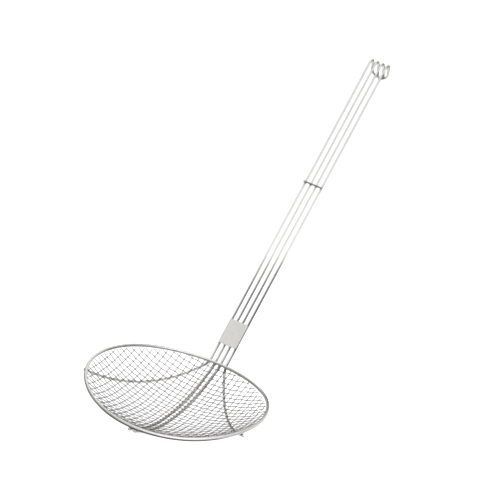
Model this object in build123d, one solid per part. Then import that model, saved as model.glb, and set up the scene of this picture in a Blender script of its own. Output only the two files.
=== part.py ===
from build123d import *
from math import asin, atan2, cos, degrees, hypot, pi, radians, sin, sqrt, tan
import os

# A wire skimmer: a shallow bowl of woven square mesh in a round rim, carried by four parallel wires.
# The wires run under the bowl as ribs, up the handle, and are bent back into a hanging hook.
# Millimetres. The origin is the centre of the bowl's mouth, +Z is up out of the mouth, and the handle
# rises towards +X. "Lengthwise" is along X and "crosswise" is along Y.

# rim
rim_radius = 100.0       # centre of the rim's round section, seen from above
rim_section = 4.0        # outside diameter of the rolled band
rim_dip = 3.6            # the rim is this much low at the handle and opposite it, and this much high
                         # at the sides
band_sheet = 0.5         # sheet of the rolled band
band_slot = 2.8          # gap left in the band's section, where the mesh goes in

# woven mesh
bowl_depth = 29.3        # middle of the mesh below the mean level of the rim
mesh_pitch = 6.6
mesh_wire = 0.9
mesh_tuck = 0.2          # how far the mesh wires reach into the band
mesh_shortest = 20.0     # no mesh wire is shorter than this

# handle
handle_wire = 3.0
wire_pitch = 6.6         # between neighbouring wires of the handle
handle_tilt = 44.0       # degrees above the level of the rim
handle_length = 395.5    # straight part, from the rim to the start of the hook
rib_bend = 7.0           # length given to each side of the bend between a rib and the handle
rib_overhang = 2.5       # how far the ribs' far ends stand out past the rim
left_rib_overhang = 0.8  # the left outer rib ends almost flush with the rim
rib_end_angle = 108.0    # where the outer ribs reach the rim, in degrees round from the handle
rib_sweep = 4.6          # how far the outer ribs bow in towards the middle, seen from above

# hook
hook_bend = 5.5          # radius of the bend at the top, to the wire's centre
hook_turn = 118.0        # degrees that the outer wire turns back
hook_straight = 9.8      # outer wire between its bend and its round end
hook_lap = 2.0           # how far the inner wires lap over the round end

# pieces fixed across the handle
plate_length = 31.0
plate_width = 22.7
plate_sheet = 1.0
plate_corner = 1.5
plate_start = 24.7       # up the handle from the rim
cross_wire_size = 2.4
cross_wire_length = 24.6
cross_wire_start = 235.0

# clearances
weld_gap = 0.02          # between pieces that are welded face to face
rib_room = 0.08          # more room where the ribs pass under the rim, which curves beside them
rib_end_room = 0.35      # more room where an outer rib crosses the rim at a slant
mesh_gap = 0.03          # between the two sets of mesh wires, and between mesh and ribs where they are
                         # nearest
hoop_gap = 0.1           # round the hoop inside the band

tilt = radians(handle_tilt)
along = Vector(cos(tilt), 0, sin(tilt))       # up the handle
front = Vector(-sin(tilt), 0, cos(tilt))      # out of the handle's front, the side of the bowl's mouth


def arc_radius(half_chord, sagitta):
    return (half_chord ** 2 + sagitta ** 2) / (2 * sagitta)


# The bowl is an arc lengthwise carried along an arc crosswise, so each mesh wire is one plain arc.
length_radius = arc_radius(rim_radius, bowl_depth - rim_dip)
width_radius = arc_radius(rim_radius, bowl_depth + rim_dip)


def rise(distance, radius):
    return radius - sqrt(radius ** 2 - distance ** 2)


def bowl_height(x, y):
    return rise(x, length_radius) + rise(y, width_radius) - bowl_depth


diagonal = rim_radius * sqrt(0.5)
rim_ease = -bowl_height(diagonal, diagonal) / 2      # the rim passes this much either side of the mesh


def rim_height(x, y):
    return bowl_height(x, y) - rim_ease


steepest = asin(rim_radius / width_radius)
layer_step = (mesh_wire + mesh_gap) / cos(steepest)  # crosswise wires lie this much above the lengthwise ones


def round_bar(path, diameter):
    """A round bar swept along one edge or a chain of tangent edges."""
    wire = path if isinstance(path, Wire) else Wire([path])
    section = Plane(origin=wire @ 0, z_dir=wire % 0) * Circle(diameter / 2)
    return sweep(section, path=wire)


def side_plane(y):
    """Local x and y become the object's X and Z, at the crosswise place y."""
    return Plane(origin=(0, y, 0), x_dir=(1, 0, 0), z_dir=(0, -1, 0))


def rim_quarter():
    """A quarter of the rim's centre line, from the handle to one side: two arcs that meet tangent."""
    start = Vector(rim_radius, 0, rim_height(rim_radius, 0))
    end = Vector(0, rim_radius, rim_height(0, rim_radius))
    start_way, end_way = Vector(0, 1, 0), Vector(-1, 0, 0)
    span, both = end - start, start_way + end_way
    reach = (sqrt(span.dot(both) ** 2 + 2 * span.dot(span)) - span.dot(both)) / 2
    meet = (start + start_way * reach + end - end_way * reach) * 0.5
    return Wire([TangentArc(start, meet, tangent=start_way), TangentArc(end, meet, tangent=-end_way)])


def ring(section):
    """A section carried round the rim: one quarter's walls, mirrored twice and closed into one solid."""
    path = rim_quarter()
    quarter = sweep(Plane(origin=path @ 0, x_dir=(-1, 0, 0), z_dir=path % 0) * section, path=path)
    walls = [face for face in quarter.faces() if face.geom_type != GeomType.PLANE or not on_cut(face)]
    walls += [face.mirror(Plane.XZ) for face in walls]
    walls += [face.mirror(Plane.YZ) for face in walls]
    return Solid(Shell(walls))


def on_cut(face):
    middle = face.center()
    return min(abs(middle.X), abs(middle.Y)) < rim_section / 100


def rim_hoop():
    """The wire that stiffens the rim, inside the band."""
    return ring(Circle(rim_section / 2 - band_sheet - hoop_gap))


def rim_band():
    """A strip rolled round the hoop, with its slot facing the bowl, where the mesh edge goes in."""
    outer = rim_section / 2
    slot = Pos(outer, 0) * Rectangle(2 * outer, band_slot)
    wall_slope = degrees(asin(rim_radius / length_radius) + steepest) / 2
    return ring(Rot(0, 0, -wall_slope) * (Circle(outer) - Circle(outer - band_sheet) - slot))


def mesh_set(radius, other_radius, level, place):
    """One arc for each mesh wire. The place function puts a curve drawn upright at its offset."""
    reach = rim_radius - rim_section / 2 + mesh_tuck
    count = int(reach / mesh_pitch)
    wires = []
    for i in range(-count, count + 1):
        offset = i * mesh_pitch
        half = sqrt(reach ** 2 - (abs(offset) + mesh_wire / 2) ** 2)
        if 2 * half < mesh_shortest:
            continue
        low = rise(offset, other_radius) - bowl_depth + level
        end = low + rise(half, radius)
        arc = ThreePointArc((-half, end), (0, low), (half, end))
        wires.append(round_bar(place(offset) * arc, mesh_wire))
    return wires


def mesh_lengthwise():
    return mesh_set(length_radius, width_radius, -layer_step / 2, side_plane)


def mesh_crosswise():
    def across(x):
        return Plane(origin=(x, 0, 0), x_dir=(0, 1, 0), z_dir=(1, 0, 0))

    return mesh_set(width_radius, length_radius, layer_step / 2, across)


def bowl_outward(x, y):
    """Out of the bowl's underside, square to it."""
    slope_x = x / sqrt(length_radius ** 2 - x ** 2)
    slope_y = y / sqrt(width_radius ** 2 - y ** 2)
    return Vector(slope_x, slope_y, -1).normalized()


def under_rim(turn, room):
    """Where a rib's centre lies as it passes under the rim, at an angle round from the handle."""
    x, y = rim_radius * cos(turn), rim_radius * sin(turn)
    reach = (rim_section + handle_wire) / 2 + weld_gap + room
    return Vector(x, y, rim_height(x, y)) + bowl_outward(x, y) * reach


# a rib's centre below the middle of the mesh
rib_depth = layer_step / 2 + mesh_wire / 2 + handle_wire / 2 + mesh_gap


def rib_point(x, y):
    """A point on a rib's centre line, just under the mesh."""
    return Vector(x, y, bowl_height(x, y) + rib_depth / bowl_outward(x, y).Z)


# the bend between a rib and the handle cuts its corner by this much
bend_room = rib_bend * tan((tilt - asin(rim_radius / length_radius)) / 4)


def rib_start(y):
    """The corner between the handle's line and a rib's, just outside the rim, at the crosswise place y."""
    return under_rim(0, bend_room + rib_room) + Vector(0, y, 0)


def handle_point(start, distance):
    return start + along * distance


def rib_and_handle(rib, overhang):
    """The rib from its far end, a smooth bend outside the rim, and the straight up the handle."""
    share = rib_bend / rib.length
    rib_side = rib.trim(0, 1 - share)
    start = rib @ 1
    turn_end = handle_point(start, rib_bend)
    bend = Spline(rib_side @ 1, turn_end, tangents=(rib_side % 1, along))
    straight = Line(turn_end, handle_point(start, handle_length))
    tail = Line(rib_side @ 0 - (rib_side % 0) * overhang, rib_side @ 0)
    return [tail, rib_side, bend, straight]


def turned(angle):
    """Direction of a wire that has turned back by an angle from the handle's line."""
    return along * cos(angle) - front * sin(angle)


def hook_arc(start, angle):
    """The bend at the top of the handle, from the straight's end."""
    centre = start - front * hook_bend
    middle = centre + front * (hook_bend * cos(angle / 2)) + along * (hook_bend * sin(angle / 2))
    end = centre + front * (hook_bend * cos(angle)) + along * (hook_bend * sin(angle))
    return ThreePointArc(start, middle, end)


def middle_rib(y):
    near = rib_start(y)
    far = under_rim(pi, rib_room) + Vector(0, y, 0)
    return ThreePointArc(far, rib_point(0, y), near)


def outer_rib(side):
    near = rib_start(side * 1.5 * wire_pitch)
    far = under_rim(side * radians(rib_end_angle), rib_end_room)
    chord = far - near
    inward = Vector(-side * chord.Y, side * chord.X, 0).normalized()
    middle = (near + far) * 0.5 + inward * rib_sweep
    return ThreePointArc(far, rib_point(middle.X, middle.Y), near)


def outer_wire():
    """One wire: up from the left rib, round the hook's end, and down to the right rib."""
    half = 1.5 * wire_pitch
    turn = radians(hook_turn)
    sides = []
    ends = []
    for side, overhang in ((1, left_rib_overhang), (-1, rib_overhang)):
        edges = rib_and_handle(outer_rib(side), overhang)
        bend = hook_arc(edges[-1] @ 1, turn)
        run = Line(bend @ 1, (bend @ 1) + turned(turn) * hook_straight)
        sides.append(edges + [bend, run])
        ends.append(run @ 1)
    tip = (ends[0] + ends[1]) * 0.5 + turned(turn) * half
    loop = ThreePointArc(ends[0], tip, ends[1])
    return round_bar(Wire(sides[0] + [loop] + sides[1]), handle_wire)


def inner_turn():
    """How far an inner wire turns back so that it just rests on the outer wire's round end."""
    half = 1.5 * wire_pitch
    turn = radians(hook_turn)
    reach = hook_straight + sqrt(half ** 2 - (wire_pitch / 2) ** 2)
    back = hook_bend * (1 - cos(turn)) + reach * sin(turn) - hook_bend
    down = -hook_bend * sin(turn) - reach * cos(turn)
    apart = hypot(back, down)
    lift = asin((hook_bend - handle_wire - weld_gap) / apart)
    angle = atan2(down, back) + lift
    return pi / 2 + angle, sqrt(apart ** 2 - (hook_bend - handle_wire - weld_gap) ** 2)


def inner_wire(side):
    edges = rib_and_handle(middle_rib(side * wire_pitch / 2), rib_overhang)
    turn, reach = inner_turn()
    bend = hook_arc(edges[-1] @ 1, turn)
    run = Line(bend @ 1, (bend @ 1) + turned(turn) * (reach + hook_lap))
    return round_bar(Wire(edges + [bend, run]), handle_wire)


def handle_plane(distance, lift):
    """On the handle's front: local x is across the handle and local y is up it."""
    origin = handle_point(rib_start(0), distance) + front * lift
    return Plane(origin=origin, x_dir=(0, -1, 0), z_dir=front)


def joining_plate():
    seat = handle_wire / 2 + weld_gap
    outline = RectangleRounded(plate_width, plate_length, plate_corner)
    return extrude(handle_plane(plate_start + plate_length / 2, seat) * outline, plate_sheet)


def cross_wire():
    seat = handle_plane(cross_wire_start, (handle_wire + cross_wire_size) / 2 + weld_gap)
    bar = Line((-cross_wire_length / 2, 0), (cross_wire_length / 2, 0))
    return round_bar(seat * bar, cross_wire_size)


sub_parts = {
    "rim_hoop": rim_hoop,
    "rim_band": rim_band,
    "mesh_lengthwise": mesh_lengthwise,
    "mesh_crosswise": mesh_crosswise,
    "outer_wire": outer_wire,
    "inner_wire_left": lambda: inner_wire(1),
    "inner_wire_right": lambda: inner_wire(-1),
    "joining_plate": joining_plate,
    "cross_wire": cross_wire,
}

os.makedirs("parts", exist_ok=True)
for name, make in sub_parts.items():
    made = make()
    solids = made if isinstance(made, list) else [made]
    node = Compound(children=[s for item in solids for s in item.solids()])
    export_step(node, f"parts/{name}.step")
    print(name, len(node.solids()), "solids", round(node.volume), "mm3")
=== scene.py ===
from math import asin, atan2, cos, hypot, pi, radians, sin, sqrt, tan

import bpy
import numpy as np
from mathutils import Matrix, Vector


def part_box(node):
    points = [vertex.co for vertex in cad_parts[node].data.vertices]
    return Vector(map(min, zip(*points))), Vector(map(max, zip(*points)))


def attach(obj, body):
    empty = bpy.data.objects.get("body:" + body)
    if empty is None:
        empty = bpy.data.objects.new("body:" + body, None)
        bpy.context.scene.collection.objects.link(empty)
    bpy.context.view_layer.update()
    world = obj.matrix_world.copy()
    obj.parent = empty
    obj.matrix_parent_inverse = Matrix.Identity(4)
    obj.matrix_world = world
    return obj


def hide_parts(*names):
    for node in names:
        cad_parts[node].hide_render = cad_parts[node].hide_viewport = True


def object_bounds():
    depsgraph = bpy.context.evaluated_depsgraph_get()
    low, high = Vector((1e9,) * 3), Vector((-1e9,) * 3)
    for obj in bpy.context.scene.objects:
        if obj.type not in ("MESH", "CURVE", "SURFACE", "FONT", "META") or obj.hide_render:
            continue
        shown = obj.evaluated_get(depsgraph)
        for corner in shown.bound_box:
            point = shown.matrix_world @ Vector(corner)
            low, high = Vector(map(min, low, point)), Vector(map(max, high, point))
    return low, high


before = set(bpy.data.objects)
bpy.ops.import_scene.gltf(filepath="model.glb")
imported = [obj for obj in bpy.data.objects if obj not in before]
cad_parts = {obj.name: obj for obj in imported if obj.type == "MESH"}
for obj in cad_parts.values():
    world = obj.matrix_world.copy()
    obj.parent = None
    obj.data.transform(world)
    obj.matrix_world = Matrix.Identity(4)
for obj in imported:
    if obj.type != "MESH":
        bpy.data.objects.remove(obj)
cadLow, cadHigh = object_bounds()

# A wire skimmer: a shallow bowl of woven mesh in a rolled rim, and four wires that are its ribs,
# handle and hook. Metres. The origin is the centre of the bowl's mouth, +Z is up out of it, and the
# handle rises towards +X. Lengthwise is along X and crosswise is along Y.
mm = 0.001
rng = np.random.default_rng(7)

shot = {
    "place": (-4.95118, -1.92909, 2.79184),
    "right": (0.43742, -0.87719, 0.19799),
    "up": (0.32319, 0.35881, 0.87568),
    "lens": 400.58,               # mm, on a sensor 36 mm wide
    "sensor": 36.0,
    "farthest": 60.0,
}


def addCamera():
    right, up = Vector(shot["right"]).normalized(), Vector(shot["up"]).normalized()
    camera = bpy.data.objects.new("camera", bpy.data.cameras.new("camera"))
    camera.data.lens = shot["lens"]
    camera.data.sensor_width = shot["sensor"]
    camera.data.clip_end = shot["farthest"]
    turn = Matrix((right, up, right.cross(up).normalized())).transposed().to_4x4()
    camera.matrix_world = Matrix.Translation(shot["place"]) @ turn
    bpy.context.scene.collection.objects.link(camera)
    bpy.context.scene.camera = camera


addCamera()
print("camera in place")


# An sRGB hex colour as linear red, green and blue with a full alpha.
def toLinear(hexColour):
    parts = [int(hexColour[i:i + 2], 16) / 255 for i in (1, 3, 5)]
    lit = [p / 12.92 if p <= 0.04045 else ((p + 0.055) / 1.055) ** 2.4 for p in parts]
    return (*lit, 1.0)


# Adds one node: settings go to its properties or sockets by name, links join other outputs to its sockets.
def addNode(tree, kind, settings=None, links=None):
    node = tree.nodes.new(kind)
    for name, value in (settings or {}).items():
        if name == "stops":
            ramp = node.color_ramp.elements
            while len(ramp) < len(value):
                ramp.new(0.5)
            for element, (position, colour) in zip(ramp, value):
                element.position = position
                element.color = toLinear(colour) if isinstance(colour, str) else (colour,) * 3 + (1.0,)
        elif isinstance(name, int) or name in node.inputs:
            node.inputs[name].default_value = value
        else:
            setattr(node, name, value)
    for name, source in (links or {}).items():
        tree.links.new(source, node.inputs[name])
    return node


def newMaterial(name):
    material = bpy.data.materials.new(name)
    material.use_nodes = True
    material.node_tree.nodes.clear()
    return material, material.node_tree


# Bright steel with lines left by drawing or rolling, handling haze, and tints where it was welded.
# The lines are noise stretched along the piece's own grain map, so they follow every bend.
def steel(name, look):
    material, tree = newMaterial(name)
    place = addNode(tree, "ShaderNodeTexCoord")
    grain = place.outputs["Object"]
    if look["grainMap"]:
        grain = addNode(tree, "ShaderNodeUVMap", {"uv_map": "grain"}).outputs["UV"]
    stretch = addNode(tree, "ShaderNodeMapping", {"Scale": [1 / size for size in look["lineSize"]]},
                      {"Vector": grain})
    lines = addNode(tree, "ShaderNodeTexNoise",
                    {"Scale": 1.0, "Detail": 4.0, "Roughness": 0.6}, {"Vector": stretch.outputs[0]})
    haze = addNode(tree, "ShaderNodeTexNoise",
                   {"Scale": 1 / look["hazeSize"], "Detail": 5.0, "Roughness": 0.55, "Distortion": 0.4},
                   {"Vector": place.outputs["Object"]})
    both = addNode(tree, "ShaderNodeMath", {"operation": "MULTIPLY_ADD", 1: look["hazeShare"]},
                   {0: haze.outputs[0], 2: lines.outputs[0]})
    shades = addNode(tree, "ShaderNodeValToRGB",
                     {"stops": [(0.30, look["dark"]), (0.55, look["body"]), (0.95, look["bright"])]},
                     {"Fac": both.outputs[0]})
    colour = shades.outputs["Color"]

    # shade, grime and seam mark: painted shade where wires cross, where the plate's ends lap the wires,
    # along the plate's edges and on the bar's lower side, grime at the mesh's crossings too, and the band's
    # real dark seam line
    nip = addNode(tree, "ShaderNodeAttribute", {"attribute_name": "nip"})
    colour = addNode(tree, "ShaderNodeMix",
                     {"data_type": "RGBA", "blend_type": "MIX", 7: toLinear(look["shadeGrimeAndSeamColour"])},
                     {0: nip.outputs["Fac"], 6: colour}).outputs[2]

    # painted light: the ribs are painted paler inside the rim, standing in for light that the mesh's shade
    # takes from them; they are also duller, as cleaning after welding leaves
    dull = addNode(tree, "ShaderNodeAttribute", {"attribute_name": "dull"})
    colour = addNode(tree, "ShaderNodeMix",
                     {"data_type": "RGBA", "blend_type": "MIX", 7: toLinear("#f1f0ee")},
                     {0: dull.outputs["Fac"], 6: colour}).outputs[2]

    # closeness to a weld: straw, then brown, then blue grey oxide
    heat = addNode(tree, "ShaderNodeAttribute", {"attribute_name": "heat"})
    blotch = addNode(tree, "ShaderNodeMath", {"operation": "MULTIPLY_ADD", 1: 0.5, 2: 0.75},
                     {0: haze.outputs[0]})
    burnt = addNode(tree, "ShaderNodeMath", {"operation": "MULTIPLY", "use_clamp": True},
                    {0: heat.outputs["Fac"], 1: blotch.outputs[0]})
    tint = addNode(tree, "ShaderNodeValToRGB",
                   {"stops": [(0.10, "#c9b58c"), (0.40, "#8f6d45"), (0.70, "#5c4636"),
                              (1.0, "#3c3a3b")]},
                   {"Fac": burnt.outputs[0]})
    share = addNode(tree, "ShaderNodeMapRange", {"From Min": 0.05, "From Max": 0.55, "To Max": 0.85},
                    {"Value": burnt.outputs[0]})
    colour = addNode(tree, "ShaderNodeMix", {"data_type": "RGBA", "blend_type": "MIX"},
                     {0: share.outputs[0], 6: colour, 7: tint.outputs["Color"]}).outputs[2]

    low, high = look["roughness"]
    rough = addNode(tree, "ShaderNodeMapRange",
                    {"From Min": 0.3, "From Max": 1.0, "To Min": low, "To Max": high},
                    {"Value": both.outputs[0]})
    for mark in (burnt.outputs[0], dull.outputs["Fac"]):
        rough = addNode(tree, "ShaderNodeMath",
                        {"operation": "MULTIPLY_ADD", 1: 0.25, "use_clamp": True},
                        {0: mark, 2: rough.outputs[0]})
    bump = addNode(tree, "ShaderNodeBump", {"Strength": look["bump"], "Distance": look["lineDepth"]},
                   {"Height": lines.outputs[0]})
    shader = addNode(tree, "ShaderNodeBsdfPrincipled", {"Metallic": 1.0},
                     {"Base Color": colour, "Roughness": rough.outputs[0], "Normal": bump.outputs[0]})
    addNode(tree, "ShaderNodeOutputMaterial", None, {"Surface": shader.outputs[0]})
    return material


# 304 stainless wire, cold drawn bright: near mirror, with fine die lines that soften what it reflects.
# Real die lines are about 0.05 mm apart; they are drawn 0.3 mm apart so that they show.
drawnWire = steel("brightDrawnStainlessWire", {
    "grainMap": True, "lineSize": (30 * mm, 0.3 * mm, 1.0), "lineDepth": 0.02 * mm, "bump": 0.25,
    "hazeSize": 9 * mm, "hazeShare": 0.35, "roughness": (0.07, 0.17),
    "dark": "#b8b6b3", "body": "#d0cfcd", "bright": "#e2e2e0", "shadeGrimeAndSeamColour": "#3d3a38",
})

# 304 stainless strip, roll formed round the rim: soft lengthwise rolling lines and a satin edge.
# Real rolling lines are about 0.1 mm apart; they are drawn 0.35 mm apart so that they show.
rolledStrip = steel("rollFormedStainlessStrip", {
    "grainMap": True, "lineSize": (22 * mm, 0.35 * mm, 1.0), "lineDepth": 0.03 * mm, "bump": 0.35,
    "hazeSize": 12 * mm, "hazeShare": 0.45, "roughness": (0.26, 0.44),
    "dark": "#b3b1ad", "body": "#d0cfcb", "bright": "#e2e1de", "shadeGrimeAndSeamColour": "#66615c",
})

# 304 stainless mesh wire, woven and then pickled: greyer and duller, and drawn darker than the handle's
# steel as painted shade for the weave, with more painted shade where wires cross.
wovenWire = steel("pickledWovenStainlessWire", {
    "grainMap": True, "lineSize": (6 * mm, 0.3 * mm, 1.0), "lineDepth": 0.02 * mm, "bump": 0.3,
    "hazeSize": 5 * mm, "hazeShare": 0.5, "roughness": (0.24, 0.44),
    "dark": "#5f5b5c", "body": "#7c7879", "bright": "#9c9899", "shadeGrimeAndSeamColour": "#3a3633",
})

# 304 stainless sheet, satin rolled and tumbled after stamping: an even, matt grey with faint lines.
# Real satin grain is about 0.08 mm; it is drawn at 0.4 mm so that it shows.
satinSheet = steel("satinRolledStainlessSheet", {
    "grainMap": True, "lineSize": (7 * mm, 0.4 * mm, 1.0), "lineDepth": 0.03 * mm, "bump": 0.3,
    "hazeSize": 4 * mm, "hazeShare": 0.8, "roughness": (0.42, 0.60),
    "dark": "#b0aea9", "body": "#cdccc7", "bright": "#dfdeda", "shadeGrimeAndSeamColour": "#7d7972",
})

# Steel fused by resistance welding: small lumps, rough and browned by the heat.
weldMetal = steel("fusedResistanceWeldSteel", {
    "grainMap": False, "lineSize": (0.9 * mm, 0.9 * mm, 0.9 * mm), "lineDepth": 0.08 * mm, "bump": 0.6,
    "hazeSize": 1.6 * mm, "hazeShare": 0.6, "roughness": (0.34, 0.58),
    "dark": "#3f3831", "body": "#6a6259", "bright": "#98928a", "shadeGrimeAndSeamColour": "#3a342e",
})

# Mild steel hoop wire inside the band, zinc plated: dull blue grey with a spangled haze.
hoopWire = steel("zincPlatedHoopWire", {
    "grainMap": False, "lineSize": (1.2 * mm, 1.2 * mm, 1.2 * mm), "lineDepth": 0.02 * mm, "bump": 0.2,
    "hazeSize": 3 * mm, "hazeShare": 0.7, "roughness": (0.34, 0.52),
    "dark": "#7d8083", "body": "#969a9d", "bright": "#aeb2b4", "shadeGrimeAndSeamColour": "#55585b",
})
print("materials made")


def unit(vectors):
    return vectors / np.linalg.norm(vectors, axis=-1, keepdims=True)


# A mesh from closed sections: grid is (pieces, rows, points round, 3). Rows join to the next row, the
# points of a row join into a loop, and an end pole closes each piece's first and last row unless the
# rows themselves join into a ring. Grain maps metres along and metres round, corner by corner.
def pieceFromSections(name, grid, poles=None, materials=(), ring=False, marks=None, grainOf=None):
    count, rows, sides = grid.shape[:3]
    index = np.arange(count * rows * sides).reshape(count, rows, sides)
    here = index if ring else index[:, :-1]
    ahead = np.roll(index, -1, axis=1) if ring else index[:, 1:]
    quads = np.stack([here, np.roll(here, -1, axis=2), np.roll(ahead, -1, axis=2), ahead], -1)

    stepAlong = np.linalg.norm(np.diff(grid, axis=1, append=grid[:, :1]), axis=-1).mean(axis=2)
    lengthAlong = np.concatenate([np.zeros((count, 1)), np.cumsum(stepAlong, axis=1)], axis=1)
    stepRound = np.linalg.norm(np.diff(grid, axis=2, append=grid[:, :, :1]), axis=-1).mean(axis=1)
    lengthRound = np.concatenate([np.zeros((count, 1)), np.cumsum(stepRound, axis=1)], axis=1)
    last = rows if ring else rows - 1
    shape = (count, last, sides)
    aNear = np.broadcast_to(lengthAlong[:, :last, None], shape)
    aFar = np.broadcast_to(lengthAlong[:, 1:last + 1, None], shape)
    rNear = np.broadcast_to(lengthRound[:, None, :-1], shape)
    rFar = np.broadcast_to(lengthRound[:, None, 1:], shape)
    maps = [np.stack([np.stack([aNear, rNear], -1), np.stack([aNear, rFar], -1),
                      np.stack([aFar, rFar], -1), np.stack([aFar, rNear], -1)], -2).reshape(-1, 2)]
    faces = quads.reshape(-1, 4).tolist()
    points = [grid.reshape(-1, 3)]
    if poles is not None:
        points += [poles[0], poles[1]]
        first = count * rows * sides + np.arange(count)[:, None]
        start = np.stack(np.broadcast_arrays(first, np.roll(index[:, 0], -1, 1), index[:, 0]), -1)
        end = np.stack(np.broadcast_arrays(first + count, index[:, -1], np.roll(index[:, -1], -1, 1)), -1)
        faces += start.reshape(-1, 3).tolist() + end.reshape(-1, 3).tolist()
        maps.append(np.concatenate([start.reshape(-1, 3), end.reshape(-1, 3)]).reshape(-1, 1) * [0.0, 0.0])

    mesh = bpy.data.meshes.new(name)
    points = np.concatenate(points)
    mesh.from_pydata(points.tolist(), [], faces)
    grain = np.concatenate(maps)
    if grainOf:
        corners = np.empty(len(mesh.loops), np.int32)
        mesh.loops.foreach_get("vertex_index", corners)
        grain = grainOf(points)[corners]
    mesh.uv_layers.new(name="grain").data.foreach_set("uv", grain.ravel())
    mesh.polygons.foreach_set("use_smooth", np.ones(len(mesh.polygons), bool))
    for markName, markOf in (marks or {}).items():
        values = markOf(points).astype(np.float32)
        mesh.attributes.new(markName, "FLOAT", "POINT").data.foreach_set("value", values)
    for material in materials:
        mesh.materials.append(material)
    mesh.update()
    piece = bpy.data.objects.new(name, mesh)
    bpy.context.scene.collection.objects.link(piece)
    print(name, len(mesh.polygons), "faces")
    return piece


# Circles carried along paths: each point's circle stands square to the path's direction there, and
# starts from the side given by a fixed vector that is never along the path.
def circlesAlong(path, radius, sides, across):
    way = unit(np.gradient(path, axis=-2))
    side = unit(np.cross(np.broadcast_to(across, way.shape), way))
    other = np.cross(way, side)
    turn = 2 * pi * np.arange(sides) / sides
    spread = np.broadcast_to(radius, path.shape[:-1])[..., None, None]
    circle = np.cos(turn)[:, None] * side[..., None, :] + np.sin(turn)[:, None] * other[..., None, :]
    return path[..., None, :] + spread * circle


# A path's points at given distances along it.
def pointsAt(path, distances):
    far = np.concatenate([[0.0], np.cumsum(np.linalg.norm(np.diff(path, axis=0), axis=1))])
    return np.stack([np.interp(distances, far, path[:, i]) for i in range(3)], -1), far[-1]


# One bar along a path: even steps between two ends whose edges are rounded over by a quarter circle.
def barSections(path, radius, step, sides, endRound, across):
    length = pointsAt(path, [0.0])[1]
    turn = np.linspace(0, pi / 2, 5)
    near = endRound * (1 - np.cos(turn))
    inner = np.linspace(endRound, length - endRound, int(length / step))[1:-1]
    distances = np.concatenate([near, inner, length - near[::-1]])
    edge = np.clip(np.minimum(distances, length - distances), 0, endRound)
    spread = radius - endRound + np.sqrt(endRound ** 2 - (endRound - edge) ** 2)
    centres = pointsAt(path, distances)[0]
    grid = circlesAlong(centres, spread, sides, across)
    return grid[None], (centres[None, 0], centres[None, -1])


# Three places on a circle give its centre; the arc runs from the first, through the second, to the last.
def arcThrough(start, middle, end, count):
    p, q = middle - start, end - start
    axis = np.cross(p, q)
    centre = start + np.cross(p @ p * q - q @ q * p, axis) / (2 * axis @ axis)
    out = start - centre
    onward = np.cross(unit(axis), out)
    sweep = atan2((end - centre) @ onward, (end - centre) @ out) % (2 * pi)
    turn = np.linspace(0, sweep, count)[:, None]
    return centre + np.cos(turn) * out + np.sin(turn) * onward


# An arc that leaves its start in a given direction and ends at a given place.
def arcFrom(start, way, end, count):
    chord = end - start
    aside = chord - chord @ way * way
    radius = chord @ chord / (2 * np.linalg.norm(aside))
    turn = np.linspace(0, 2 * atan2(np.linalg.norm(aside), chord @ way), count)[:, None]
    return start + radius * np.sin(turn) * way + radius * (1 - np.cos(turn)) * unit(aside)


# A smooth bend between two directions, as a cubic whose end slopes are as long as its chord.
def easeBetween(start, startWay, end, endWay, count):
    t = np.linspace(0, 1, count)[:, None]
    pull = np.linalg.norm(end - start)
    return ((2 * t ** 3 - 3 * t ** 2 + 1) * start + (t ** 3 - 2 * t ** 2 + t) * pull * startWay
            + (3 * t ** 2 - 2 * t ** 3) * end + (t ** 3 - t ** 2) * pull * endWay)


def straight(start, end):
    return np.stack([start, end])


def joinRuns(runs):
    path = np.concatenate(runs)
    fresh = np.linalg.norm(np.diff(path, axis=0, prepend=path[:1] - 1), axis=1) > 1e-7
    return path[fresh]


def arcRadius(halfChord, sagitta):
    return (halfChord ** 2 + sagitta ** 2) / (2 * sagitta)


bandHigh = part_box("rim_band")[1]
bowl = {
    "section": 4.0 * mm,          # the rolled band's outside diameter
    "dip": 3.6 * mm,              # how low the rim is at the handle and opposite, and how high at its sides
    "depth": 29.3 * mm,
}
bowl["radius"] = bandHigh.y - bowl["section"] / 2
bowl["lengthRadius"] = arcRadius(bowl["radius"], bowl["depth"] - bowl["dip"])
bowl["widthRadius"] = arcRadius(bowl["radius"], bowl["depth"] + bowl["dip"])


def rise(distance, radius):
    return radius - np.sqrt(radius ** 2 - np.square(distance))


# The bowl is one arc carried along another: its height is the sum of both arcs' rises, less its depth.
def bowlHeight(x, y):
    return rise(x, bowl["lengthRadius"]) + rise(y, bowl["widthRadius"]) - bowl["depth"]


# Square to the bowl, on the side of its mouth.
def bowlInward(x, y):
    x, y = np.broadcast_arrays(np.asarray(x, float), np.asarray(y, float))
    slopeX = x / np.sqrt(bowl["lengthRadius"] ** 2 - x ** 2)
    slopeY = y / np.sqrt(bowl["widthRadius"] ** 2 - y ** 2)
    return unit(np.stack([-slopeX, -slopeY, np.ones_like(x)], -1))


diagonal = bowl["radius"] * sqrt(0.5)
rimEase = -bowlHeight(diagonal, diagonal) / 2


def rimPoint(turn):
    x, y = bowl["radius"] * cos(turn), bowl["radius"] * sin(turn)
    return np.array([x, y, bowlHeight(x, y) - rimEase])


# The rim's centre line: a quarter of two arcs that meet tangent, mirrored across both upright planes.
def rimPath(count):
    start, end = rimPoint(0), rimPoint(pi / 2)
    startWay, endWay = np.array([0.0, 1.0, 0.0]), np.array([-1.0, 0.0, 0.0])
    span, both = end - start, startWay + endWay
    reach = (sqrt((span @ both) ** 2 + 2 * span @ span) - span @ both) / 2
    meet = (start + startWay * reach + end - endWay * reach) / 2
    first, second = arcFrom(start, startWay, meet, count), arcFrom(end, -endWay, meet, count)
    quarter = np.concatenate([first, second[::-1][1:]])
    half = np.concatenate([quarter, (quarter[::-1] * [-1, 1, 1])[1:]])
    return np.concatenate([half, (half[::-1] * [1, -1, 1])[1:-1]])


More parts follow.
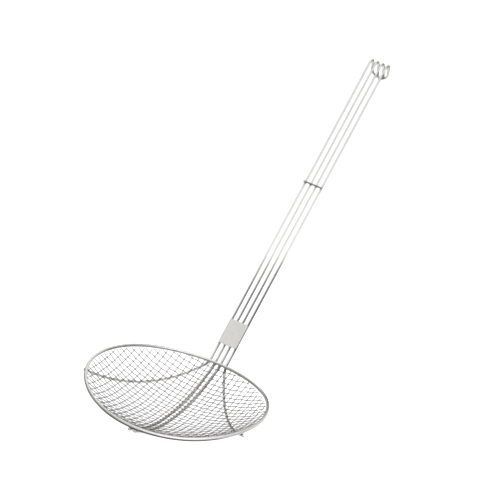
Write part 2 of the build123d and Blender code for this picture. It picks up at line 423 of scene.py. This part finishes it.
weave = {
    "pitch": 6.6 * mm,
    "wire": 0.9 * mm,
    "gap": 0.03 * mm,
    "reach": bowl["radius"] - bowl["section"] / 2 + 0.2 * mm,     # the wires end inside the band
    "wires": 14,                  # each side of the middle one
    "rows": 240,
    "sides": 8,
    "crown": 0.25,                # how much flatter a crimp's crown is than a plain wave
    "drift": 0.45 * mm,           # how far forming has pulled the weave out of square
    "driftLengths": (84 * mm, 61 * mm),
    "nipSize": 0.9 * mm,
    "nipCore": 1.25,              # above 1, so that the middle of a crossing is evenly dark
    "nipShade": 0.75,
}


# Where the weave's own square grid lies: two slow waves that fade out at the rim.
def drifted(u, v):
    fade = 1 - (u ** 2 + v ** 2) / weave["reach"] ** 2
    longWave, shortWave = weave["driftLengths"]
    x = u + weave["drift"] * fade * np.sin(2 * pi * v / longWave + 0.6) * np.cos(2 * pi * u / shortWave)
    y = v + weave["drift"] * fade * np.sin(2 * pi * u / longWave + 1.9) * np.cos(2 * pi * v / shortWave)
    return x, y


# Painted shade, with grime, at each crossing: closeness of a mesh point to the nearest crossing, full on
# it, and falling evenly to 0 a little past a nip size away.
def nipOf(points):
    off = np.abs((points[:, :2] / weave["pitch"] + 0.5) % 1 - 0.5) * weave["pitch"]
    near = weave["nipCore"] - np.hypot(off[:, 0], off[:, 1]) / weave["nipSize"]
    return np.clip(near, 0, 1) * weave["nipShade"]


# One set of mesh wires. Each follows the bowl, and rises and sinks by half a wire at each crossing:
# plus or minus cosine of the distance in pitches, with the sign changing from wire to wire.
def weaveSections(lengthwise):
    number = np.arange(-weave["wires"], weave["wires"] + 1)
    offset = number[:, None] * weave["pitch"]
    half = np.sqrt(weave["reach"] ** 2 - (np.abs(offset) + weave["wire"] / 2) ** 2)
    run = half * np.linspace(-1, 1, weave["rows"] + 1)
    sign = np.where(number % 2, -1, 1)[:, None] * (1 if lengthwise else -1)
    wave = np.cos(pi * run / weave["pitch"])
    wave = sign * wave * (1 + weave["crown"] * (1 - wave ** 2))
    offset = np.broadcast_to(offset, run.shape)
    x, y = drifted(run, offset) if lengthwise else drifted(offset, run)
    lift = (weave["wire"] + weave["gap"]) / 2
    centres = np.stack([x, y, bowlHeight(x, y)], -1) + bowlInward(x, y) * (wave * lift)[..., None]
    across = (0, 1, 0) if lengthwise else (1, 0, 0)
    grid = circlesAlong(centres, weave["wire"] / 2, weave["sides"], across)
    return grid, (centres[:, 0], centres[:, -1])


handle = {
    "wire": 3.0 * mm,
    "pitch": 6.6 * mm,
    "tilt": radians(44.0),
    "length": 395.5 * mm,         # straight part, from the rim to the hook
    "bend": 7.0 * mm,             # each side of the bend between rib and handle
    "overhang": 2.5 * mm,
    "leftOverhang": 0.8 * mm,     # the left outer rib ends almost flush with the rim
    "ribEnd": radians(108.0),     # where the outer ribs cross the rim, round from the handle
    "ribSweep": 4.6 * mm,
    "weldGap": 0.02 * mm,
    "endRoom": 0.35 * mm,
    "ribRoom": 0.08 * mm,
    "step": 0.9 * mm,
    "sides": 18,
    "cutRound": 0.45 * mm,        # the cut ends are tumbled round
    "skin": 0.02 * mm,            # drawn this much thinner, so that it stays inside the CAD model's facets
    "arcPoints": 400,             # on a rib's whole arc, then on the part kept, then on the bend after it
    "keptPoints": 200,
    "bendPoints": 24,
    "lapShade": 0.8,              # painted shade on the wires where the plate's ends cross them, and how far it spreads from the edge
    "lapReach": 1.4 * mm,
    "ribLightAndDullReach": 6 * mm,          # the ribs are painted paler, as painted light, and grow duller over this distance in from the rim
}
hook = {
    "bend": 5.5 * mm,
    "turn": radians(118.0),
    "straight": 9.8 * mm,
    "lap": 2.0 * mm,
    "bendPoints": 40,
    "loopPoints": 60,
}
up = np.array([cos(handle["tilt"]), 0.0, sin(handle["tilt"])])           # up the handle
front = np.array([-sin(handle["tilt"]), 0.0, cos(handle["tilt"])])       # out of its front
# no wire ever runs this way, so it can start every section
crossing = np.array([cos(radians(75.0)), 0.0, sin(radians(75.0))])

steepest = asin(bowl["radius"] / bowl["widthRadius"])
layerStep = (weave["wire"] + weave["gap"]) / cos(steepest)
ribDepth = layerStep / 2 + (weave["wire"] + handle["wire"]) / 2 + weave["gap"]
bendRoom = handle["bend"] * tan((handle["tilt"] - asin(bowl["radius"] / bowl["lengthRadius"])) / 4)


def underRim(turn, room):
    place = rimPoint(turn)
    reach = (bowl["section"] + handle["wire"]) / 2 + handle["weldGap"] + room
    return place - bowlInward(place[0], place[1]) * reach


def ribPoint(x, y):
    return np.array([x, y, bowlHeight(x, y) - ribDepth / bowlInward(x, y)[2]])


def ribStart(y):
    return underRim(0, bendRoom + handle["ribRoom"]) + [0, y, 0]


def middleRib(y):
    return underRim(pi, handle["ribRoom"]) + [0, y, 0], ribPoint(0, y), ribStart(y)


def outerRib(side):
    near = ribStart(side * 1.5 * handle["pitch"])
    far = underRim(side * handle["ribEnd"], handle["endRoom"])
    chord = far - near
    inward = unit(np.array([-side * chord[1], side * chord[0], 0.0]))
    middle = (near + far) / 2 + inward * handle["ribSweep"]
    return far, ribPoint(middle[0], middle[1]), near


# A rib from its far end, the bend outside the rim, and the straight up the handle.
def ribAndHandle(rib, overhang):
    arc = arcThrough(*rib, handle["arcPoints"])
    length = pointsAt(arc, [0.0])[1]
    kept = pointsAt(arc, np.linspace(0, length - handle["bend"], handle["keptPoints"]))[0]
    firstWay, lastWay = unit(kept[0] - kept[1]), unit(kept[-1] - kept[-2])
    turnEnd = rib[2] + up * handle["bend"]
    bend = easeBetween(kept[-1], lastWay, turnEnd, up, handle["bendPoints"])
    return [straight(kept[0] + firstWay * overhang, kept[0]), kept, bend,
            straight(turnEnd, rib[2] + up * handle["length"])]


def turned(angle):
    return up * cos(angle) - front * sin(angle)


# The bend at the top: a circle's arc that starts straight up the handle and falls back behind it.
def hookArc(start, angle):
    turn = np.linspace(0, angle, hook["bendPoints"])[:, None]
    return start + hook["bend"] * (np.cos(turn) * front + np.sin(turn) * up - front)


def outerPath():
    half = 1.5 * handle["pitch"]
    runs = []
    for side, overhang in ((1, handle["leftOverhang"]), (-1, handle["overhang"])):
        run = ribAndHandle(outerRib(side), overhang)
        bend = hookArc(run[-1][-1], hook["turn"])
        runs.append(run + [bend, straight(bend[-1], bend[-1] + turned(hook["turn"]) * hook["straight"])])
    left, right = runs[0][-1][-1], runs[1][-1][-1]
    tip = (left + right) / 2 + turned(hook["turn"]) * half
    loop = arcThrough(left, tip, right, hook["loopPoints"])
    return joinRuns(runs[0] + [loop] + [run[::-1] for run in runs[1][::-1]])


# How far an inner wire turns back, and how far it then runs, to just rest on the outer wire's loop.
def innerTurn():
    half, turn = 1.5 * handle["pitch"], hook["turn"]
    reach = hook["straight"] + sqrt(half ** 2 - (handle["pitch"] / 2) ** 2)
    back = -hook["bend"] * cos(turn) + reach * sin(turn)
    down = -hook["bend"] * sin(turn) - reach * cos(turn)
    room = hook["bend"] - handle["wire"] - handle["weldGap"]
    apart = hypot(back, down)
    return pi / 2 + atan2(down, back) + asin(room / apart), sqrt(apart ** 2 - room ** 2)


def innerPath(side):
    runs = ribAndHandle(middleRib(side * handle["pitch"] / 2), handle["overhang"])
    turn, reach = innerTurn()
    bend = hookArc(runs[-1][-1], turn)
    return joinRuns(runs + [bend, straight(bend[-1], bend[-1] + turned(turn) * (reach + hook["lap"]))])


wirePaths = {"outerWire": outerPath(), "innerWireLeft": innerPath(1), "innerWireRight": innerPath(-1)}
wirePlaces = [side * handle["pitch"] * share for share in (1.5, 0.5) for side in (1, -1)]


def onHandle(distance, y, lift):
    return ribStart(0) + [0, y, 0] + up * distance + front * lift


# Places where pieces are welded: centre, the ways the lump is wide and long, its three half sizes, and
# how far its heat reached.
welds = {"centre": [], "wide": [], "long": [], "size": [], "heat": []}
weldKinds = {
    "outerRib": ((0.7 * mm, 2.1 * mm, 1.3 * mm), 3.0 * mm),
    "rib": ((0.7 * mm, 1.9 * mm, 1.2 * mm), 3.0 * mm),
    "bar": ((0.5 * mm, 1.35 * mm, 1.25 * mm), 3.0 * mm),
    "hook": ((0.9 * mm, 2.3 * mm, 1.9 * mm), 6.0 * mm),
    "dab": ((0.5 * mm, 0.85 * mm, 0.8 * mm), 1.3 * mm),
}
dabs = {
    "inside": 0.9,                # the mesh is dabbed to the ribs within this share of the rim's radius
    "each": 13,                   # most dabs on each side of the middle, one a pitch
    "lift": 0.2 * mm,             # above the rib's top
}
heatCore = 1.25                   # above 1, so that the weld itself is evenly burnt
crossBar = {
    "size": 2.4 * mm,
    "length": 24.6 * mm,
    "start": 235.0 * mm,
    "step": 0.5 * mm,
    "sides": 16,
    "cutRound": 0.4 * mm,
    "shadeSlope": 3.5,            # how fast the lower side darkens, and how dark the middle is
    "shadeMiddle": 0.15,
}


def addWeld(kind, centre, wide, long):
    size, heat = weldKinds[kind]
    wide = unit(np.asarray(wide, float))
    long = np.asarray(long, float)
    long = unit(long - long @ wide * wide)
    for key, value in zip(welds, (centre, wide, long, size, heat)):
        welds[key].append(np.asarray(value, float))


def placeWelds():
    rimTurns = [(handle["ribEnd"] * side, side) for side in (1, -1)]
    for turn, side in rimTurns:                                     # outer ribs' far ends under the rim
        place = rimPoint(turn)
        inward = bowlInward(place[0], place[1])
        addWeld("outerRib", place - inward * bowl["section"] / 2, inward, (-sin(turn), cos(turn), 0))
    for turn, places in ((pi, wirePlaces[2:]), (0.0, wirePlaces)):  # ribs under the rim, both ends
        place = rimPoint(turn)
        inward = bowlInward(place[0], place[1])
        for y in places:
            addWeld("rib", place + [0, y, 0] - inward * bowl["section"] / 2, inward, (0, 1, 0))
    for y in wirePlaces:                                            # the bar across the handle
        addWeld("bar", onHandle(crossBar["start"], y, handle["wire"] / 2), front, (0, 1, 0))
    turn, reach = innerTurn()
    loopReach = hook["straight"] + sqrt((1.5 * handle["pitch"]) ** 2 - (handle["pitch"] / 2) ** 2)
    for y in wirePlaces[2:]:                                        # inner wires on the loop
        end = onHandle(handle["length"], y, 0.0)
        own = hookArc(end, turn)[-1] + turned(turn) * reach
        loop = hookArc(end, hook["turn"])[-1] + turned(hook["turn"]) * loopReach
        addWeld("hook", (own + loop) / 2, loop - own, turned(turn))
    for path in wirePaths.values():                                 # mesh dabbed to the ribs
        inside = np.hypot(path[:, 0], path[:, 1]) < dabs["inside"] * bowl["radius"]
        x, y = np.clip(path[:, :2], -bowl["radius"], bowl["radius"]).T
        under = inside & (path[:, 2] < bowlHeight(x, y))
        for half in (under & (path[:, 1] > 0), under & (path[:, 1] < 0)):
            rib = path[half]
            if len(rib) < 2:
                continue
            order = np.argsort(rib[:, 0])
            for number in range(-dabs["each"], dabs["each"] + 1):
                x = number * weave["pitch"]
                if not rib[order[0], 0] < x < rib[order[-1], 0]:
                    continue
                place = np.array([x, *(np.interp(x, rib[order, 0], rib[order, i]) for i in (1, 2))])
                inward = bowlInward(place[0], place[1])
                addWeld("dab", place + inward * (handle["wire"] / 2 + dabs["lift"]), inward, (0, 1, 0))


placeWelds()
welds = {key: np.array(value) for key, value in welds.items()}
print(len(welds["centre"]), "welds placed")


# Heat tint: 1 on a weld, falling evenly to 0 a little past the distance that its heat reached.
def heatOf(points):
    near = np.zeros(len(points))
    for centre, reached in zip(welds["centre"], welds["heat"]):
        gone = np.linalg.norm(points - centre, axis=1) / reached
        near = np.maximum(near, np.clip(heatCore - gone, 0, 1))
    return near


def unmarked(points):
    return np.zeros(len(points))


def finishPiece(piece, slot, *nodes):
    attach(piece, "root")
    if nodes:
        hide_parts(*nodes)


# the woven mesh
for name, lengthwise, node in (("meshLengthwise", True, "mesh_lengthwise"),
                               ("meshCrosswise", False, "mesh_crosswise")):
    grid, poles = weaveSections(lengthwise)
    finishPiece(pieceFromSections(name, grid, poles, [wovenWire], marks={"nip": nipOf, "heat": heatOf}),
                "woven_mesh", node)


# Painted shade on the handle's wires along the plate's two ends, where the plate meets them.
def lapOf(points):
    far = (points - ribStart(0)) @ up
    across = np.abs(far - plate["start"] - plate["length"] / 2) - plate["length"] / 2
    return handle["lapShade"] * np.clip(1 - np.abs(across) / handle["lapReach"], 0, 1)


# The ribs are painted paler, as painted light, and are duller than the handle: 0 at the rim, rising evenly
# to 1 a little way inside it.
def dullOf(points):
    inside = bowl["radius"] - np.hypot(points[:, 0], points[:, 1])
    return np.clip(inside / handle["ribLightAndDullReach"], 0, 1)


plate = {
    "length": 31.0 * mm,
    "width": 22.7 * mm,
    "sheet": 1.0 * mm,
    "corner": 1.5 * mm,
    "start": 24.7 * mm,
    "edgeRound": 0.28 * mm,
    "spotRows": (-9.5 * mm, 9.5 * mm),
    "spotSize": 1.15 * mm,
    "spotDepth": 0.06 * mm,
    "cornerPoints": 6,
    "sidePoints": 18,             # between two corners
    "edgePoints": 5,
    "faceRows": 34,               # from the middle of a face to its edge
    "firstRow": 0.05,             # the first row's size, as a share of the outline
    "spotShade": 0.16,            # browning is strongest at this share of a spot's size, and this sharp
    "spotRing": 0.9,
    "spotSharp": 3,
    "edgeShade": 0.55,
    "edgeReach": 0.5 * mm,
}

for name, node in (("outerWire", "outer_wire"), ("innerWireLeft", "inner_wire_left"),
                   ("innerWireRight", "inner_wire_right")):
    grid, poles = barSections(wirePaths[name], handle["wire"] / 2 - handle["skin"], handle["step"],
                              handle["sides"], handle["cutRound"], crossing)
    wirePiece = pieceFromSections(name, grid, poles, [drawnWire],
                                  marks={"nip": lapOf, "heat": heatOf, "dull": dullOf})
    finishPiece(wirePiece, "drawn_wire", node)


# The band's section: an outer arc, a round lip, the inner arc back, and the other lip. It is open to
# the bowl, and its opening is turned down to face the mesh.
band = {
    "sheet": 0.5 * mm,
    "lipTurn": radians(57.0),     # from the opening's middle to each lip
    "rows": 30,                   # along each of the rim's eight arcs
    "seamTurn": radians(-24.0),
    "seamWidth": 0.8 * mm,
    "seamShade": 0.9,
    "sectionPoints": 34,          # round the outer arc; the inner arc has half as many
    "lipPoints": 7,
}


def bandSections():
    outer = bowl["section"] / 2
    inner, middle = outer - band["sheet"], outer - band["sheet"] / 2
    slope = (asin(bowl["radius"] / bowl["lengthRadius"]) + steepest) / 2
    sweepOut = np.linspace(band["lipTurn"], 2 * pi - band["lipTurn"], band["sectionPoints"])
    sweepIn = sweepOut[::-2]
    lip = np.linspace(0, pi, band["lipPoints"])[1:-1]

    def lipPoints(turn, start):
        centre = middle * np.array([cos(turn), sin(turn)])
        return centre + band["sheet"] / 2 * np.stack([np.cos(start + lip), np.sin(start + lip)], -1)

    outline = np.concatenate([
        outer * np.stack([np.cos(sweepOut), np.sin(sweepOut)], -1),
        lipPoints(-band["lipTurn"], -band["lipTurn"]),
        inner * np.stack([np.cos(sweepIn), np.sin(sweepIn)], -1),
        lipPoints(band["lipTurn"], band["lipTurn"] + pi),
    ])
    sloped = outline @ np.array([[cos(slope), -sin(slope)], [sin(slope), cos(slope)]])
    path = rimPath(band["rows"])
    way = unit(np.roll(path, -1, axis=0) - np.roll(path, 1, axis=0))
    inward = -path * [1, 1, 0]
    inward = unit(inward - (inward * way).sum(1, keepdims=True) * way)
    over = np.cross(way, inward)
    grid = path[:, None] + sloped[None, :, :1] * inward[:, None] + sloped[None, :, 1:] * over[:, None]
    return grid[None]


# The strip's two ends meet in a butt joint, which shows as a thin dark line across the band.
def seamOf(points):
    turn = np.arctan2(points[:, 1], points[:, 0]) - band["seamTurn"]
    return band["seamShade"] * np.clip(1 - np.abs(turn) * bowl["radius"] / band["seamWidth"], 0, 1)


finishPiece(pieceFromSections("rimBand", bandSections(), None, [rolledStrip], ring=True,
                              marks={"nip": seamOf, "heat": heatOf}), "rolled_band", "rim_band")


# The plate: a rounded rectangle's outline drawn in from its edge to the middle of each face, over
# quarter rounds at both edges. The front has a shallow dimple at each spot weld.
def plateSections():
    halfWide, halfLong, corner = plate["width"] / 2, plate["length"] / 2, plate["corner"]
    quarter = np.linspace(0, pi / 2, plate["cornerPoints"])
    outline, normal = [], []
    for turn, wide, long in ((0, 1, 1), (1, -1, 1), (2, -1, -1), (3, 1, -1)):
        roundWay = np.stack([np.cos(quarter + turn * pi / 2), np.sin(quarter + turn * pi / 2)], -1)
        middle = np.array([wide * (halfWide - corner), long * (halfLong - corner)])
        outline.append(middle + corner * roundWay)
        normal.append(roundWay)
    ends = [np.roll(outline, -1, axis=0)[i][0] for i in range(4)]
    filled, filledNormal = [], []
    for i in range(4):
        share = np.linspace(0, 1, plate["sidePoints"] + 2)[1:-1, None]
        filled += [outline[i], outline[i][-1] * (1 - share) + ends[i] * share]
        filledNormal += [normal[i], np.broadcast_to(normal[i][-1], (plate["sidePoints"], 2))]
    outline, normal = np.concatenate(filled), np.concatenate(filledNormal)

    edge, half = plate["edgeRound"], plate["sheet"] / 2
    turn = np.linspace(0, pi / 2, plate["edgePoints"])
    draw = np.linspace(plate["firstRow"], 1, plate["faceRows"])[:, None, None]
    face = (outline - normal * edge) * draw
    rounding = outline - normal * (edge * (1 - np.sin(turn)))[:, None, None]
    height = half - edge * (1 - np.cos(turn))
    flat = np.full(len(draw), half)
    rows = np.concatenate([face[:-1], rounding, rounding[::-1], face[:-1][::-1]])
    level = np.concatenate([-flat[:-1], -height, height[::-1], flat[:-1]])
    level = np.repeat(level[:, None], len(outline), axis=1)

    spots = np.array([(y, along) for y in wirePlaces for along in plate["spotRows"]])
    away = np.linalg.norm(rows[:, :, None] - spots, axis=-1) / plate["spotSize"]
    dimple = plate["spotDepth"] * np.exp(-away ** 4).sum(-1)
    level = level - dimple * (level > half * 0.99)
    seat = onHandle(plate["start"] + halfLong, 0.0, handle["wire"] / 2 + handle["weldGap"] + half)
    leftward = np.array([0.0, -1.0, 0.0])
    grid = seat + rows[..., :1] * leftward + rows[..., 1:] * up + level[..., None] * front
    return grid[None], (seat[None] - front * half, seat[None] + front * half)


# Faint browning round each spot weld on the plate.
def plateHeat(points):
    local = points - onHandle(plate["start"] + plate["length"] / 2, 0.0, 0.0)
    flat = np.stack([-local[:, 1], local @ up], -1)
    spots = np.array([(y, along) for y in wirePlaces for along in plate["spotRows"]])
    away = np.linalg.norm(flat[:, None] - spots, axis=-1).min(-1) / plate["spotSize"]
    return plate["spotShade"] * np.exp(-(away - plate["spotRing"]) ** 2 * plate["spotSharp"])


# The plate's grain is flat: metres up the handle, and metres across it.
def plateGrain(points):
    return np.stack([points @ up, points[:, 1]], -1)


# Painted shade along the plate's two long edges.
def plateEdge(points):
    local = points - onHandle(plate["start"] + plate["length"] / 2, 0.0, 0.0)
    side = plate["width"] / 2 - np.abs(local[:, 1])
    return plate["edgeShade"] * np.clip(1 - side / plate["edgeReach"], 0, 1)


grid, poles = plateSections()
finishPiece(pieceFromSections("joiningPlate", grid, poles, [satinSheet],
                              marks={"nip": plateEdge, "heat": plateHeat}, grainOf=plateGrain),
            "satin_plate", "joining_plate")

centre = onHandle(crossBar["start"], 0.0, (handle["wire"] + crossBar["size"]) / 2 + handle["weldGap"])
reach = np.array([0.0, crossBar["length"] / 2, 0.0])
barPath = straight(centre - reach, centre + reach)


# Painted shade on the bar's lower side, where it meets the four wires.
def barShade(points):
    above = (points - centre) @ up
    return np.clip(-crossBar["shadeSlope"] * above / (crossBar["size"] / 2) + crossBar["shadeMiddle"], 0, 1)


grid, poles = barSections(barPath, crossBar["size"] / 2, crossBar["step"], crossBar["sides"],
                          crossBar["cutRound"], front)
finishPiece(pieceFromSections("crossWire", grid, poles, [drawnWire],
                              marks={"nip": barShade, "heat": heatOf}), "drawn_wire", "cross_wire")


lumpShape = {
    "rows": 7,
    "sides": 10,
    "twoFold": 0.10,              # how far a lump's waist wanders, as shares of its size
    "threeFold": 0.07,
}


# Weld lumps: squashed balls whose waists wander by a two-fold and a three-fold wave.
def lumpSections():
    count = len(welds["centre"])
    over = np.cross(welds["wide"], welds["long"])
    tall = np.linspace(0, pi, lumpShape["rows"])[None, 1:-1, None]
    turn = 2 * pi * np.arange(lumpShape["sides"])[None, None] / lumpShape["sides"]
    lean = rng.uniform(0, 2 * pi, (2, count, 1, 1))
    wander = (lumpShape["twoFold"] * np.sin(2 * turn + lean[0])
              + lumpShape["threeFold"] * np.sin(3 * turn + lean[1]))
    waist = 1 + np.sin(tall) * wander
    size = welds["size"][:, None, None]
    shape = np.stack([np.broadcast_to(-np.cos(tall), waist.shape), waist * np.sin(tall) * np.cos(turn),
                      waist * np.sin(tall) * np.sin(turn)], -1) * size
    axes = np.stack([welds["wide"], welds["long"], over], 1)[:, None, None]
    grid = welds["centre"][:, None, None] + (shape[..., None] * axes).sum(-2)
    pole = welds["wide"] * welds["size"][:, :1]
    return grid, (welds["centre"] - pole, welds["centre"] + pole)


grid, poles = lumpSections()
lumps = pieceFromSections("weldLumps", grid, poles, [weldMetal],
                          marks={"nip": unmarked, "heat": heatOf})
finishPiece(lumps, "drawn_wire")

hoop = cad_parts["rim_hoop"]
hoop.data.materials.clear()
hoop.data.materials.append(hoopWire)
print("pieces made")

studio = {
    # the sky is brightest towards this way, and fades with how far a direction points off it: the
    # cosine of the angle between the two, and how bright the sky is there
    "keyWay": (-0.42, -0.28, 0.86),
    "sky": ((-1.0, 0.36), (0.0, 0.20), (0.35, 0.32), (0.65, 0.72), (0.82, 1.24), (0.93, 1.60),
            (1.0, 1.70)),
    # a paler patch of wall behind the object: its way, the cosines where it starts and is full, its glow
    "backWay": (0.95, 0.0, 0.30), "backFrom": 0.50, "backFull": 0.80, "backGlow": 0.75,
    "floorSide": 9.0,
    "floorDrop": 0.3 * mm,        # the floor lies just under the bowl
    "backLight": 0.55,            # the floor is lit from below too, so that shadows stay faint
    "sheetLift": 0.1 * mm,
    "sheetCentre": (0.20, -0.10, 0.0),
    "sheetReach": 1.2,
    "sheetGlow": 0.35,
    # a black card stands to the right of the handle's foot, seen only by the metal: its two ends along
    # X, its place in Y, its foot, and its height at each end
    "cardEnds": (0.102, 0.27), "cardSide": -0.06, "cardLow": -0.033, "cardHigh": (0.42, 0.04),
    "cardLean": 0.145,            # how far its near edge leans towards the bowl at the top
    # a second black card lies on the floor beside the first: its ends along X and along Y
    "footCard": ((0.105, 0.20), (-0.06, 0.035)),
    # and a third curves round the front of the bowl: where it starts and ends round the bowl, its radii
    "ringTurn": (radians(140.0), radians(250.0)), "ringReach": (0.086, 0.17), "ringPoints": 25,
    # soft boxes: place, what it is aimed at, side and power
    "boxes": (((-1.6, -1.4, 2.6), (0.1, 0.0, 0.1), 1.5, 10.0),
              ((1.5, 1.7, 2.2), (0.1, 0.0, 0.1), 1.4, 6.0)),
}


# The sky's strength is read from how near each direction points to the key light's.
def addSky():
    world = bpy.data.worlds.new("paleStudio")
    world.use_nodes = True
    tree = world.node_tree
    tree.nodes.clear()
    direction = addNode(tree, "ShaderNodeTexCoord")
    near = addNode(tree, "ShaderNodeVectorMath", {"operation": "DOT_PRODUCT", 1: studio["keyWay"]},
                   {0: direction.outputs["Generated"]})
    share = addNode(tree, "ShaderNodeMapRange", {"From Min": -1.0}, {"Value": near.outputs["Value"]})
    top = studio["sky"][-1][1]
    ramp = addNode(tree, "ShaderNodeValToRGB",
                   {"stops": [((place + 1) / 2, level / top) for place, level in studio["sky"]]},
                   {"Fac": share.outputs[0]})
    behind = addNode(tree, "ShaderNodeVectorMath", {"operation": "DOT_PRODUCT", 1: studio["backWay"]},
                     {0: direction.outputs["Generated"]})
    patch = addNode(tree, "ShaderNodeMapRange",
                    {"interpolation_type": "SMOOTHSTEP", "From Min": studio["backFrom"],
                     "From Max": studio["backFull"], "To Max": studio["backGlow"]},
                    {"Value": behind.outputs["Value"]})
    strength = addNode(tree, "ShaderNodeMath", {"operation": "MULTIPLY_ADD", 1: top},
                       {0: ramp.outputs["Color"], 2: patch.outputs[0]})
    sky = addNode(tree, "ShaderNodeBackground", {"Color": (1.0, 1.0, 1.0, 1.0)},
                  {"Strength": strength.outputs[0]})
    addNode(tree, "ShaderNodeOutputWorld", None, {"Surface": sky.outputs[0]})
    bpy.context.scene.world = world


# A flat sheet inside its corners, as a stage piece.
def stageSheet(name, corners, material):
    mesh = bpy.data.meshes.new(name)
    mesh.from_pydata([tuple(c) for c in corners], [], [range(len(corners))])
    mesh.materials.append(material)
    sheet = bpy.data.objects.new(name, mesh)
    bpy.context.scene.collection.objects.link(sheet)
    return sheet


# Matt white seamless paper: an even white with the faintest tooth.
def paperMaterial():
    material, tree = newMaterial("mattSeamlessPaper")
    place = addNode(tree, "ShaderNodeTexCoord")
    tooth = addNode(tree, "ShaderNodeTexNoise", {"Scale": 220.0, "Detail": 3.0},
                    {"Vector": place.outputs["Object"]})
    colour = addNode(tree, "ShaderNodeValToRGB", {"stops": [(0.0, "#f6f6f5"), (1.0, "#fcfcfc")]},
                     {"Fac": tooth.outputs[0]})
    shader = addNode(tree, "ShaderNodeBsdfPrincipled",
                     {"Roughness": 0.9, "Specular IOR Level": 0.2,
                      "Emission Strength": studio["backLight"]},
                     {"Base Color": colour.outputs["Color"], "Emission Color": colour.outputs["Color"]})
    addNode(tree, "ShaderNodeOutputMaterial", None, {"Surface": shader.outputs[0]})
    return material


# A graded grey sheet that only the metal sees, lightest round the object. Its far part gives the
# bright wires their grey edges.
def sheetMaterial():
    material, tree = newMaterial("gradedGreyCard")
    place = addNode(tree, "ShaderNodeTexCoord")
    away = addNode(tree, "ShaderNodeVectorMath", {"operation": "DISTANCE", 1: studio["sheetCentre"]},
                   {0: place.outputs["Object"]})
    share = addNode(tree, "ShaderNodeMath", {"operation": "DIVIDE", 1: studio["sheetReach"]},
                    {0: away.outputs["Value"]})
    shade = addNode(tree, "ShaderNodeValToRGB",
                    {"stops": [(0.20, "#f4f4f4"), (0.34, "#9a9a9a"), (0.50, "#3a3a3a"), (1.0, "#444444")]},
                    {"Fac": share.outputs[0]})
    shader = addNode(tree, "ShaderNodeBsdfPrincipled",
                     {"Roughness": 1.0, "Specular IOR Level": 0.0,
                      "Emission Strength": studio["sheetGlow"]},
                     {"Base Color": shade.outputs["Color"], "Emission Color": shade.outputs["Color"]})
    addNode(tree, "ShaderNodeOutputMaterial", None, {"Surface": shader.outputs[0]})
    return material


# Black card that greys towards its top, so that the dark edges fade up the handle.
def cardMaterial():
    material, tree = newMaterial("blackPaintedCard")
    place = addNode(tree, "ShaderNodeTexCoord")
    height = addNode(tree, "ShaderNodeSeparateXYZ", None, {0: place.outputs["Object"]})
    share = addNode(tree, "ShaderNodeMapRange",
                    {"From Min": studio["cardLow"], "From Max": studio["cardHigh"][0]},
                    {"Value": height.outputs["Z"]})
    shade = addNode(tree, "ShaderNodeValToRGB", {"stops": [(0.45, "#060606"), (1.0, "#1a1a1a")]},
                    {"Fac": share.outputs[0]})
    shader = addNode(tree, "ShaderNodeBsdfPrincipled", {"Roughness": 1.0, "Specular IOR Level": 0.0},
                     {"Base Color": shade.outputs["Color"]})
    addNode(tree, "ShaderNodeOutputMaterial", None, {"Surface": shader.outputs[0]})
    return material


def addStudio():
    addSky()
    half, level = studio["floorSide"] / 2, cadLow.z - studio["floorDrop"]
    square = [(-half, -half), (half, -half), (half, half), (-half, half)]
    floor = stageSheet("floor", [(x, y, level) for x, y in square], paperMaterial())
    floor.visible_glossy = False
    level += studio["sheetLift"]
    sheet = stageSheet("greySheet", [(x, y, level) for x, y in square], sheetMaterial())
    (near, far), (nearTop, farTop) = studio["cardEnds"], studio["cardHigh"]
    outline = [(near, studio["cardLow"]), (far, studio["cardLow"]), (far, farTop),
               (near - studio["cardLean"], nearTop)]
    black = cardMaterial()
    card = stageSheet("blackCard", [(x, studio["cardSide"], z) for x, z in outline], black)
    (left, right), (back, ahead) = studio["footCard"]
    level += studio["sheetLift"]
    foot = stageSheet("blackFootCard", [(left, back, level), (right, back, level), (right, ahead, level),
                                        (left, ahead, level)], black)
    turn = np.linspace(*studio["ringTurn"], studio["ringPoints"])
    edges = [[(r * cos(t), r * sin(t), level) for t in turn] for r in studio["ringReach"]]
    ring = stageSheet("blackRing", edges[0] + edges[1][::-1], black)
    for seenByMetal in (sheet, card, foot, ring):
        seenByMetal.visible_camera = seenByMetal.visible_diffuse = seenByMetal.visible_shadow = False
    for number, (place, aim, side, watts) in enumerate(studio["boxes"]):
        light = bpy.data.lights.new(f"softBox{number}", "AREA")
        light.size, light.energy = side, watts
        lamp = bpy.data.objects.new(light.name, light)
        turn = (Vector(aim) - Vector(place)).to_track_quat("-Z", "Y")
        lamp.matrix_world = Matrix.Translation(place) @ turn.to_matrix().to_4x4()
        lamp.visible_camera = False
        bpy.context.scene.collection.objects.link(lamp)
    bpy.context.scene.view_settings.view_transform = "Standard"


addStudio()
print("studio in place")
